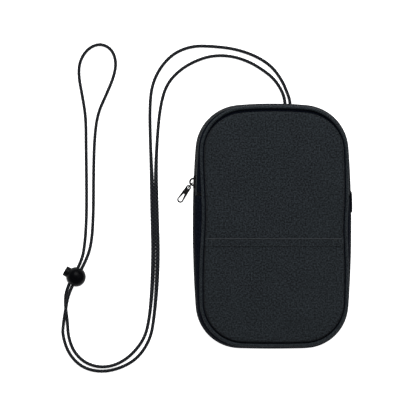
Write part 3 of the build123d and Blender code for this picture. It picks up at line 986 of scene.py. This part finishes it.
@dataclass
class BackCover:
    """The padded back, which lies on the floor, and the compartment's lining on its inside."""

    edge_inset: float = 2.5 * MM

    def build(self) -> None:
        """Makes the cover and the lining."""
        levels = [(0.0, 0.12), (0.3, 0.08), (0.6, 0.05), (0.85, 0.03), (0.95, 0.06)]
        rings = [shrunk(BACK, self.edge_inset, share, height * MM) for share, height in levels]
        for inset, height in ((0.8, 0.3), (0.2, 0.9), (0.0, 1.6), (0.2, 2.3), (1.0, 2.7)):
            rings.append(shrunk(BACK, self.edge_inset + inset * MM, 1.0, height * MM))
        for share in (0.92, 0.7, 0.4, 0.0):
            rings.append(shrunk(BACK, self.edge_inset, share, 2.8 * MM))
        bm = bmesh.new()
        loft(bm, rings, closed=True, planar=True)
        close_up(bm, 0.3 * MM)
        cover = make_piece(bm, "back_cover", PANEL_CLOTH, subdivide=1)
        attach(cover, Body.POUCH.value)
        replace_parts(cover, "back_panel", "back_padding")
        bm = bmesh.new()
        heights = [(0.0, 3.2), (0.25, 3.2), (0.5, 3.2), (0.75, 3.2), (0.93, 3.15), (1.0, 3.6)]
        loft(bm, [shrunk(BACK, 2.3 * MM, share, height * MM) for share, height in heights], True, planar=True)
        for vert in bm.verts:
            vert.co.z += 0.15 * MM * (1 + noise.noise(vert.co * 60))
        bmesh.ops.remove_doubles(bm, verts=bm.verts, dist=0.6 * MM)
        bmesh.ops.recalc_face_normals(bm, faces=bm.faces)
        lining = make_piece(bm, "compartment_lining", LINING_CLOTH, subdivide=1)
        wall = lining.modifiers.new("wall", "SOLIDIFY")
        wall.thickness = 0.2 * MM
        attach(lining, Body.POUCH.value)
        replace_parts(lining, "back_lining")


# ---- Piping --------------------------------------------------------------------------------------------


@dataclass
class Piping:
    """A round cord in a folded strip of cloth, sewn between a panel and the gusset."""

    radius: float = 1.4 * MM
    inset: float = 1.4 * MM
    seam_thickness: float = 0.3 * MM
    sides: int = 14

    def build(self, name: str, outline: Outline, height: float, nodes: Sequence[str], folds: bool) -> None:
        """Makes one round of piping.

        Args:
            name: The piece's name.
            outline: The outline that it follows.
            height: The height of its middle.
            nodes: The nodes that it replaces.
            folds: Whether it is a front piece, which is only baked in place rather than joined to the pouch.
        """
        ring = outline.stations()
        length = ring[-1].travelled
        sections = []
        for station in ring:
            turn = 2 * math.pi * station.travelled / length
            where = Vector((math.cos(turn), math.sin(turn), height * 100)) * 9
            radius = self.radius * (0.985 + 0.03 * noise.noise(where))
            middle = station.at(self.inset, height)
            section = []
            for side in range(self.sides):
                angle = 2 * math.pi * side / self.sides
                section.append(
                    middle + station.outward * radius * math.cos(angle) + UP * radius * math.sin(angle)
                )
            sections.append(section)
        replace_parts(self.finish(name, sections, folds), *nodes)

    def seam(self, name: str, outline: Outline, height: float, reach: float, folds: bool) -> None:
        """Makes the flat seam that joins the piping to the panel beside it.

        Args:
            name: The piece's name.
            outline: The outline that it follows.
            height: The height of its middle.
            reach: How far inside the outline it ends.
            folds: Whether it is a front piece, which is only baked in place rather than joined to the pouch.
        """
        corners = ((self.inset, -1), (reach, -1), (reach, 1), (self.inset, 1))
        half = self.seam_thickness / 2
        ring = outline.stations()
        sections = [[station.at(inset, height + side * half) for inset, side in corners] for station in ring]
        self.finish(name, sections, folds, GUSSET_CLOTH)

    def finish(
        self, name: str, sections: Sequence[Sequence[Vector]], folds: bool, cloth: Cloth = PIPING_CLOTH
    ) -> bpy.types.Object:
        """Makes a piece of these sections, joined to the pouch unless folds is set, when it is only baked in
        place.

        Args:
            name: The piece's name.
            sections: Its sections, one for each station.
            folds: Whether it is a front piece, which is only baked in place rather than joined to the pouch.
            cloth: Its finish.

        Returns:
            The piece.
        """
        bm = bmesh.new()
        loft(bm, sections, closed=True)
        close_up(bm)
        piece = make_piece(bm, name, cloth, subdivide=1)
        if folds:
            across_fold(piece)
        else:
            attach(piece, Body.POUCH.value)
        return piece


# ---- Gusset and zip ------------------------------------------------------------------------------------


@dataclass
class Gusset:
    """The wall between the back and the front: full height at the bottom, two bands beside the zip."""

    foot: float = 2.3 * MM
    shoulder: float = 12.0 * MM
    top: float = 17.8 * MM
    inset: float = 1.0 * MM
    wall: float = 1.0 * MM
    zip_middle: float = 10.0 * MM
    zip_end: float = 22 * MM
    back_edge: float = 6.5 * MM
    front_edge: float = 15.2 * MM

    def profile(self, index: int, back: Station, front: Station, level: float, depth: float) -> Vector:
        """A point on the wall.

        Args:
            index: Which station; not used.
            back: The station on the back's outline.
            front: The station on the front's outline.
            level: The height from 0 at the foot to 1 at the top.
            depth: How far inside the wall's outer face.

        Returns:
            The point.
        """
        height = self.foot + (self.top - self.foot) * level
        low, high = back.at(self.inset + depth, 0), front.at(1.5 * MM + depth, 0)
        rise = max(0.0, (height - self.shoulder) / (self.top - self.shoulder))
        lean = 1 - math.sqrt(max(0.0, 1 - min(rise, 1.0) ** 2))
        point = low.lerp(high, lean)
        tuck = 0.9 * MM * max(0.0, 1 - (height - self.foot) / (1.6 * MM)) ** 2
        loose = 0.22 * MM * noise.noise(Vector((back.travelled * 70, height * 200, 3)))
        return point - back.outward * (tuck - loose) + UP * (height - depth * lean * 0.8)

    def strip(
        self, name: str, bottom: float, top: float, stretch: Callable[[Outline], list[Station]], hem: int
    ) -> bpy.types.Object:
        """A strip of the wall between two heights.

        Args:
            name: The piece's name.
            bottom: The height of its lower edge.
            top: The height of its upper edge.
            stretch: Gives the stations to follow on an outline.
            hem: 1 if its upper edge is folded over, -1 if its lower edge is, 0 if neither is.

        Returns:
            The strip.
        """
        span = self.top - self.foot
        rows = max(5, round((top - bottom) / (0.9 * MM)))
        levels = [(bottom + (top - bottom) * row / rows - self.foot) / span for row in range(rows + 1)]
        backs, fronts = stretch(BACK), stretch(FRONT)
        sections = []
        for index, (back, front) in enumerate(zip(backs, fronts)):
            outer = []
            for row, level in enumerate(levels):
                near = (rows - row if hem > 0 else row) if hem else rows
                fold = -0.35 * MM if near in (1, 2) else 0.0
                outer.append(self.profile(index, back, front, level, fold))
            inner = [self.profile(index, back, front, level, self.wall) for level in levels]
            sections.append(outer + inner[::-1])
        bm = bmesh.new()
        loft(bm, sections, closed=True)
        close_up(bm)
        piece = make_piece(bm, name, GUSSET_CLOTH, subdivide=1)
        return piece

    def lower(self, outline: Outline) -> list[Station]:
        """The stations below the zip's ends, from the left side round the bottom to the right."""
        ring = outline.stations()[:-1]
        start = next(index for index, station in enumerate(ring) if index > len(ring) / 2 and
                     station.point.y < self.zip_end)
        stop = next(index for index, station in enumerate(ring) if station.point.y > self.zip_end)
        turned = ring[start:] + ring[:stop]
        before = between(ring[start - 1], ring[start], share_at(ring[start - 1], ring[start], self.zip_end))
        after = between(ring[stop - 1], ring[stop], share_at(ring[stop - 1], ring[stop], self.zip_end))
        return [before, *turned, after]

    def upper(self, outline: Outline) -> list[Station]:
        """The stations above the zip's ends, paired between outlines by their share of the way."""
        ring = outline.stations()
        first = next(index for index, station in enumerate(ring) if station.point.y > self.zip_end)
        last = next(index for index, station in enumerate(ring) if index > len(ring) / 2 and
                    station.point.y < self.zip_end)
        before = between(ring[first - 1], ring[first], share_at(ring[first - 1], ring[first], self.zip_end))
        after = between(ring[last - 1], ring[last], share_at(ring[last - 1], ring[last], self.zip_end))
        return [before, *ring[first:last], after]

    def build(self) -> None:
        """Makes the lower wall and the two bands."""
        low = self.strip("gusset_wall", self.foot, self.top, self.lower, 0)
        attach(low, Body.POUCH.value)
        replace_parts(low, "gusset")
        back = self.strip("gusset_back_band", self.foot, self.back_edge, self.upper, 1)
        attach(back, Body.POUCH.value)
        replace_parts(back, "gusset_back_strip")
        front = self.strip("gusset_front_band", self.front_edge, self.top, self.upper, -1)
        across_fold(front)
        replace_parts(front, "gusset_front_sides", "flap_gusset_strip")
        # The front band's folded hem: a real roll whose lighter cloth is a painted highlight along the fold.
        line = [station.at(2.1 * MM, 16.7 * MM) for station in self.upper(BACK)]
        hem = thin_roll("gusset_front_hem", line, 0.42 * MM)
        across_fold(hem)


def share_at(a: Station, b: Station, level: float) -> float:
    """The share of the way from a to b at which Y reaches a level."""
    return (level - a.point.y) / (b.point.y - a.point.y)


@dataclass
class Zip:
    """The coil zip: two tapes, two rows of coil turns, stops, rows of stitches and the cover of its end."""

    gusset: Gusset
    coil_start: float = 26.2 * MM
    pitch: float = 1.25 * MM
    meets_above: float = 58 * MM
    row_edge: float = 2.05 * MM

    def tape(self, name: str, bottom: float, top: float) -> bpy.types.Object:
        """A tape between two heights, just under the wall's outer face."""
        span = self.gusset.top - self.gusset.foot
        backs, fronts = self.gusset.upper(BACK), self.gusset.upper(FRONT)
        sections = []
        for index, (back, front) in enumerate(zip(backs, fronts)):
            rows = []
            for depth in (0.55 * MM, 1.0 * MM):
                levels = [(bottom + (top - bottom) * row / 4 - self.gusset.foot) / span for row in range(5)]
                face = [self.gusset.profile(0, back, front, level, depth) for level in levels]
                rows.extend(face if depth < 0.8 * MM else face[::-1])
            sections.append(rows)
        bm = bmesh.new()
        loft(bm, sections, closed=True)
        close_up(bm)
        piece = make_piece(bm, name, TAPE_CLOTH)
        return piece

    def turns(self, name: str, side: int) -> bpy.types.Object:
        """One row of the coil's turns, on the back's side (-1) or the front's (1)."""
        path = BACK.over_the_top(self.coil_start, self.pitch)
        places = []
        for index, station in enumerate(path):
            meets = min(1.0, max(0.0, (station.point.y - self.meets_above) / (6 * MM)))
            reach = (0.42 - 0.62 * meets) * MM
            middle = self.gusset.zip_middle + side * (reach + self.row_edge) / 2
            shift = (0.25 if side > 0 else -0.25) * self.pitch
            lean = Matrix.Rotation(math.radians(9 * side), 4, "Z")
            frame = station.turned(self.gusset.inset + 0.45 * MM, middle)
            size = Matrix.Diagonal((1, (self.row_edge - reach) / (1.78 * MM), 1, 1))
            places.append(frame @ Matrix.Translation((shift, 0, 0)) @ lean @ size)
        piece = copies(bead(0.74 * MM, 1.78 * MM, 1.1 * MM), places, name, COIL_PLASTIC)
        return piece

    def stitches(self, name: str, inset_height: float, upper: bool) -> bpy.types.Object:
        """A row of stitches along a band, this high."""
        span = self.gusset.top - self.gusset.foot
        level = (inset_height - self.gusset.foot) / span
        backs, fronts = self.gusset.upper(BACK), self.gusset.upper(FRONT)
        line = [self.gusset.profile(0, b, f, level, -0.1 * MM) for b, f in zip(backs, fronts)]
        piece = stitch_row(name, line, [b.outward + UP * (0.8 if upper else 0.0) for b in backs])
        return piece

    def build(self) -> None:
        """Makes the zip's soft pieces, its turns and its stops."""
        back_tape = self.tape("zip_back_tape", self.gusset.back_edge - 0.6 * MM, 8.6 * MM)
        front_tape = self.tape("zip_front_tape", 11.4 * MM, self.gusset.front_edge + 0.4 * MM)
        back_turns = self.turns("zip_back_turns", -1)
        front_turns = self.turns("zip_front_turns", 1)
        back_stitches = self.stitches("band_back_stitches", self.gusset.back_edge - 1.6 * MM, False)
        front_stitches = self.stitches("band_front_stitches", self.gusset.front_edge + 0.75 * MM, True)
        for piece in (back_tape, back_turns, back_stitches):
            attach(piece, Body.POUCH.value)
        for piece in (front_tape, front_turns, front_stitches):
            across_fold(piece)
        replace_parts(back_tape, "zip_tape_back")
        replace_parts(front_tape, "zip_tape_front_sides", "flap_zip_tape")
        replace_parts(back_turns, "zip_coil_back")
        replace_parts(front_turns, "zip_coil_front_sides", "flap_zip_coil")
        self.build_stops()
        self.build_cover()

    def build_stops(self) -> None:
        """Makes the stops at both ends of the coils."""
        ring = BACK.stations()
        places = []
        for a, b in zip(ring, ring[1:]):
            if (a.point.y < 25.3 * MM) == (b.point.y < 25.3 * MM):
                continue
            station = between(a, b, share_at(a, b, 25.3 * MM))
            for side in (-1, 1):
                lift = self.gusset.zip_middle + side * 1.35 * MM
                places.append(station.turned(self.gusset.inset + 0.45 * MM, lift))
        piece = copies(bead(1.8 * MM, 1.5 * MM, 1.6 * MM), places, "zip_end_stops", COIL_PLASTIC)
        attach(piece, Body.POUCH.value)
        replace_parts(piece, "zip_stops")

    def build_cover(self) -> None:
        """Makes the folded tab over the zip's right-hand end, with its stitches."""
        ring = BACK.stations()
        low, high = 8 * MM, 26 * MM
        path = [station for station in ring if low <= station.point.y <= high and station.point.x > 0]
        sections = []
        for station in path:
            share = (station.point.y - low) / (high - low)
            bulge = 1.0 - 0.55 * abs(2 * share - 1) ** 4
            section = []
            for step in range(16):
                angle = 2 * math.pi * step / 16
                out, lift = math.cos(angle), math.sin(angle)
                out = math.copysign(abs(out) ** 0.7, out)
                lift = math.copysign(abs(lift) ** 0.5, lift)
                section.append(
                    station.at(0.3 * MM - 0.75 * MM * out * bulge, self.gusset.zip_middle + 3.8 * MM * lift)
                )
            sections.append(section)
        bm = bmesh.new()
        loft(bm, sections, closed=True)
        close_up(bm)
        piece = make_piece(bm, "zip_end_tab", GUSSET_CLOTH, subdivide=1)
        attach(piece, Body.POUCH.value)
        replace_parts(piece, "zip_end_cover")
        lines = []
        for share in (0.12, 0.88):
            station = path[round(share * (len(path) - 1))]
            lines.append([station.at(-0.42 * MM, self.gusset.zip_middle + lift * MM) for lift in (-2.9, 2.9)])
        for name, line in zip(("tab_low_stitches", "tab_high_stitches"), lines):
            row = stitch_row(name, line, [Vector((1, 0, 0))] * 2)
            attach(row, Body.POUCH.value)


def stitch_row(
    name: str, line: Sequence[Vector], facing: Sequence[Vector], pitch: float = 2.6 * MM
) -> bpy.types.Object:
    """A row of stitches along a line.

    Args:
        name: The piece's name.
        line: The line's points.
        facing: The way out of the cloth at each point.
        pitch: The distance from stitch to stitch.

    Returns:
        The stitches.
    """
    places, left = [], pitch / 2
    for a, b, out in zip(line, line[1:], facing):
        run = (b - a).length
        along = (b - a).normalized()
        across = out.cross(along).normalized()
        axes = Matrix((along, across, along.cross(across))).transposed().to_4x4()
        while left <= run:
            places.append(Matrix.Translation(a.lerp(b, left / run)) @ axes)
            left += pitch
        left -= run
    piece = copies(bead(pitch * 0.72, 0.34 * MM, 0.3 * MM), places, name, THREAD)
    return piece


# ---- Where the cord enters the pouch -------------------------------------------------------------------


@dataclass
class CordEntry:
    """The pouch's end of the cord: two eyelets in the gusset and the folded tape both ends are sewn into."""

    cord_radius: float = 1.2 * MM
    rim: float = 0.42 * MM
    fold: float = 0.9 * MM

    def build(self) -> None:
        """Makes the eyelets, the tape and its stitches."""
        wall = BACK.height / 2 - 1.0 * MM
        for name, end in (("eyelet_left", ROUTE[0]), ("eyelet_right", ROUTE[-1])):
            across, height = end[0] * MM, end[2] * MM
            top = wall - BACK.top_bow * (across / (BACK.width / 2)) ** 2
            self.eyelet(name, Vector((across, top, height)))
        self.tape()

    def eyelet(self, name: str, middle: Vector) -> None:
        """Makes a worked eyelet round the cord, facing the pouch's top."""
        bm = bmesh.new()
        bmesh.ops.create_circle(bm, segments=10, radius=self.rim)
        bmesh.ops.translate(bm, vec=(self.cord_radius + self.rim, 0, 0), verts=bm.verts)
        bmesh.ops.spin(bm, geom=[*bm.verts, *bm.edges], cent=(0, 0, 0), axis=(0, 1, 0), dvec=(0, 0, 0),
                       angle=2 * math.pi, steps=28, use_merge=True)
        bmesh.ops.translate(bm, vec=middle, verts=bm.verts)
        bmesh.ops.remove_doubles(bm, verts=bm.verts, dist=0.01 * MM)
        bmesh.ops.recalc_face_normals(bm, faces=bm.faces)
        ring = make_piece(bm, name, THREAD, subdivide=1)
        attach(ring, Body.POUCH.value)

    def tape(self) -> None:
        """Makes the folded tape over the cord's two ends, with two rows of stitches."""
        low, high = (Vector(corner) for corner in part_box("cord_anchor"))
        size, middle = high - low, (low + high) / 2
        bm = bmesh.new()
        bmesh.ops.create_cube(bm, size=1)
        bmesh.ops.scale(bm, vec=size, verts=bm.verts)
        bmesh.ops.bevel(bm, geom=bm.edges[:], offset=self.fold, offset_type="OFFSET", affect="EDGES",
                        segments=4, profile=0.5, material=-1)
        bmesh.ops.subdivide_edges(bm, edges=[e for e in bm.edges if e.calc_length() > 2 * MM], cuts=7,
                                  use_grid_fill=True)
        for vert in bm.verts:
            dent = math.cos(vert.co.x / size.x * 3 * math.pi) * 0.25 * MM
            vert.co.z -= dent if vert.co.z > 0 else 0.0
        bmesh.ops.translate(bm, vec=middle, verts=bm.verts)
        tape = make_piece(bm, "cord_anchor_tape", TAPE_CLOTH, subdivide=1)
        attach(tape, Body.POUCH.value)
        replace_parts(tape, "cord_anchor")
        levels = (("anchor_low_stitches", low.y + 1.2 * MM), ("anchor_high_stitches", high.y - 1.2 * MM))
        for name, level in levels:
            line = [Vector((low.x + self.fold, level, high.z)), Vector((high.x - self.fold, level, high.z))]
            row = stitch_row(name, line, [UP] * 2, 1.6 * MM)
            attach(row, Body.POUCH.value)


# ---- Cord lock -----------------------------------------------------------------------------------------


@dataclass
class LockSpring:
    """The coil spring behind the lock's button, kept at the model's shape; nothing here shortens it when the
    button is pressed.
    """

    joint: str = "button_press"
    free_length: float = 2.6 * MM
    stroke: float = 1.6 * MM

    def build(self) -> bpy.types.Object:
        """Makes the spring and returns it."""
        joint = next(entry for entry in FRAME["record"]["behaviour"]["joints"] if entry["name"] == self.joint)
        inwards = Vector(joint["axis"]).normalized()
        bm = bmesh.new()
        bm.from_mesh(FRAME["nodes"]["lock_spring"].data)
        bmesh.ops.remove_doubles(bm, verts=bm.verts, dist=0.002 * MM)
        seat = max((vert.co for vert in bm.verts), key=lambda point: point.dot(inwards)).copy()
        spring = make_piece(bm, "lock_spring_coil", SPRING_STEEL)
        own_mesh(spring)
        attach(spring, Body.LOCK.value)
        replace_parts(spring, "lock_spring")
        return spring


# ---- Main ----------------------------------------------------------------------------------------------


def dress_nodes() -> None:
    """Gives the carried-over metal and plastic nodes their finishes."""
    finishes = {
        "slider_body": SLIDER_PAINT,
        "puller_link": SLIDER_PAINT,
        "zip_puller": PULLER_PAINT,
        "lock_body": LOCK_PLASTIC,
        "lock_button": BUTTON_PLASTIC,
    }
    for name, finish in finishes.items():
        mesh = FRAME["nodes"][name].data
        mesh.materials.clear()
        mesh.materials.append(FINISHES.get(finish))


def main() -> None:
    """Builds every sub-assembly in order."""
    logging.basicConfig(level=logging.INFO, format="%(name)s: %(message)s")
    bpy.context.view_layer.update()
    Studio().build()
    NeckCord().build(LockSpring().build())
    BackCover().build()
    FrontCover().build()
    back_edge, front_edge = Piping(), Piping(1.15 * MM)
    back_edge.build("back_edge_piping", BACK, 1.4 * MM, ["back_piping"], False)
    back_edge.seam("back_edge_seam", BACK, 1.4 * MM, 4.0 * MM, False)
    front_edge.build("front_edge_piping", FRONT, 18.7 * MM, ["front_piping", "flap_piping"], True)
    front_edge.seam("front_edge_seam", FRONT, 17.05 * MM, 5.6 * MM, True)
    gusset = Gusset()
    gusset.build()
    Zip(gusset).build()
    CordEntry().build()
    dress_nodes()


if __name__ == "__main__":
    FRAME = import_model()
    main()
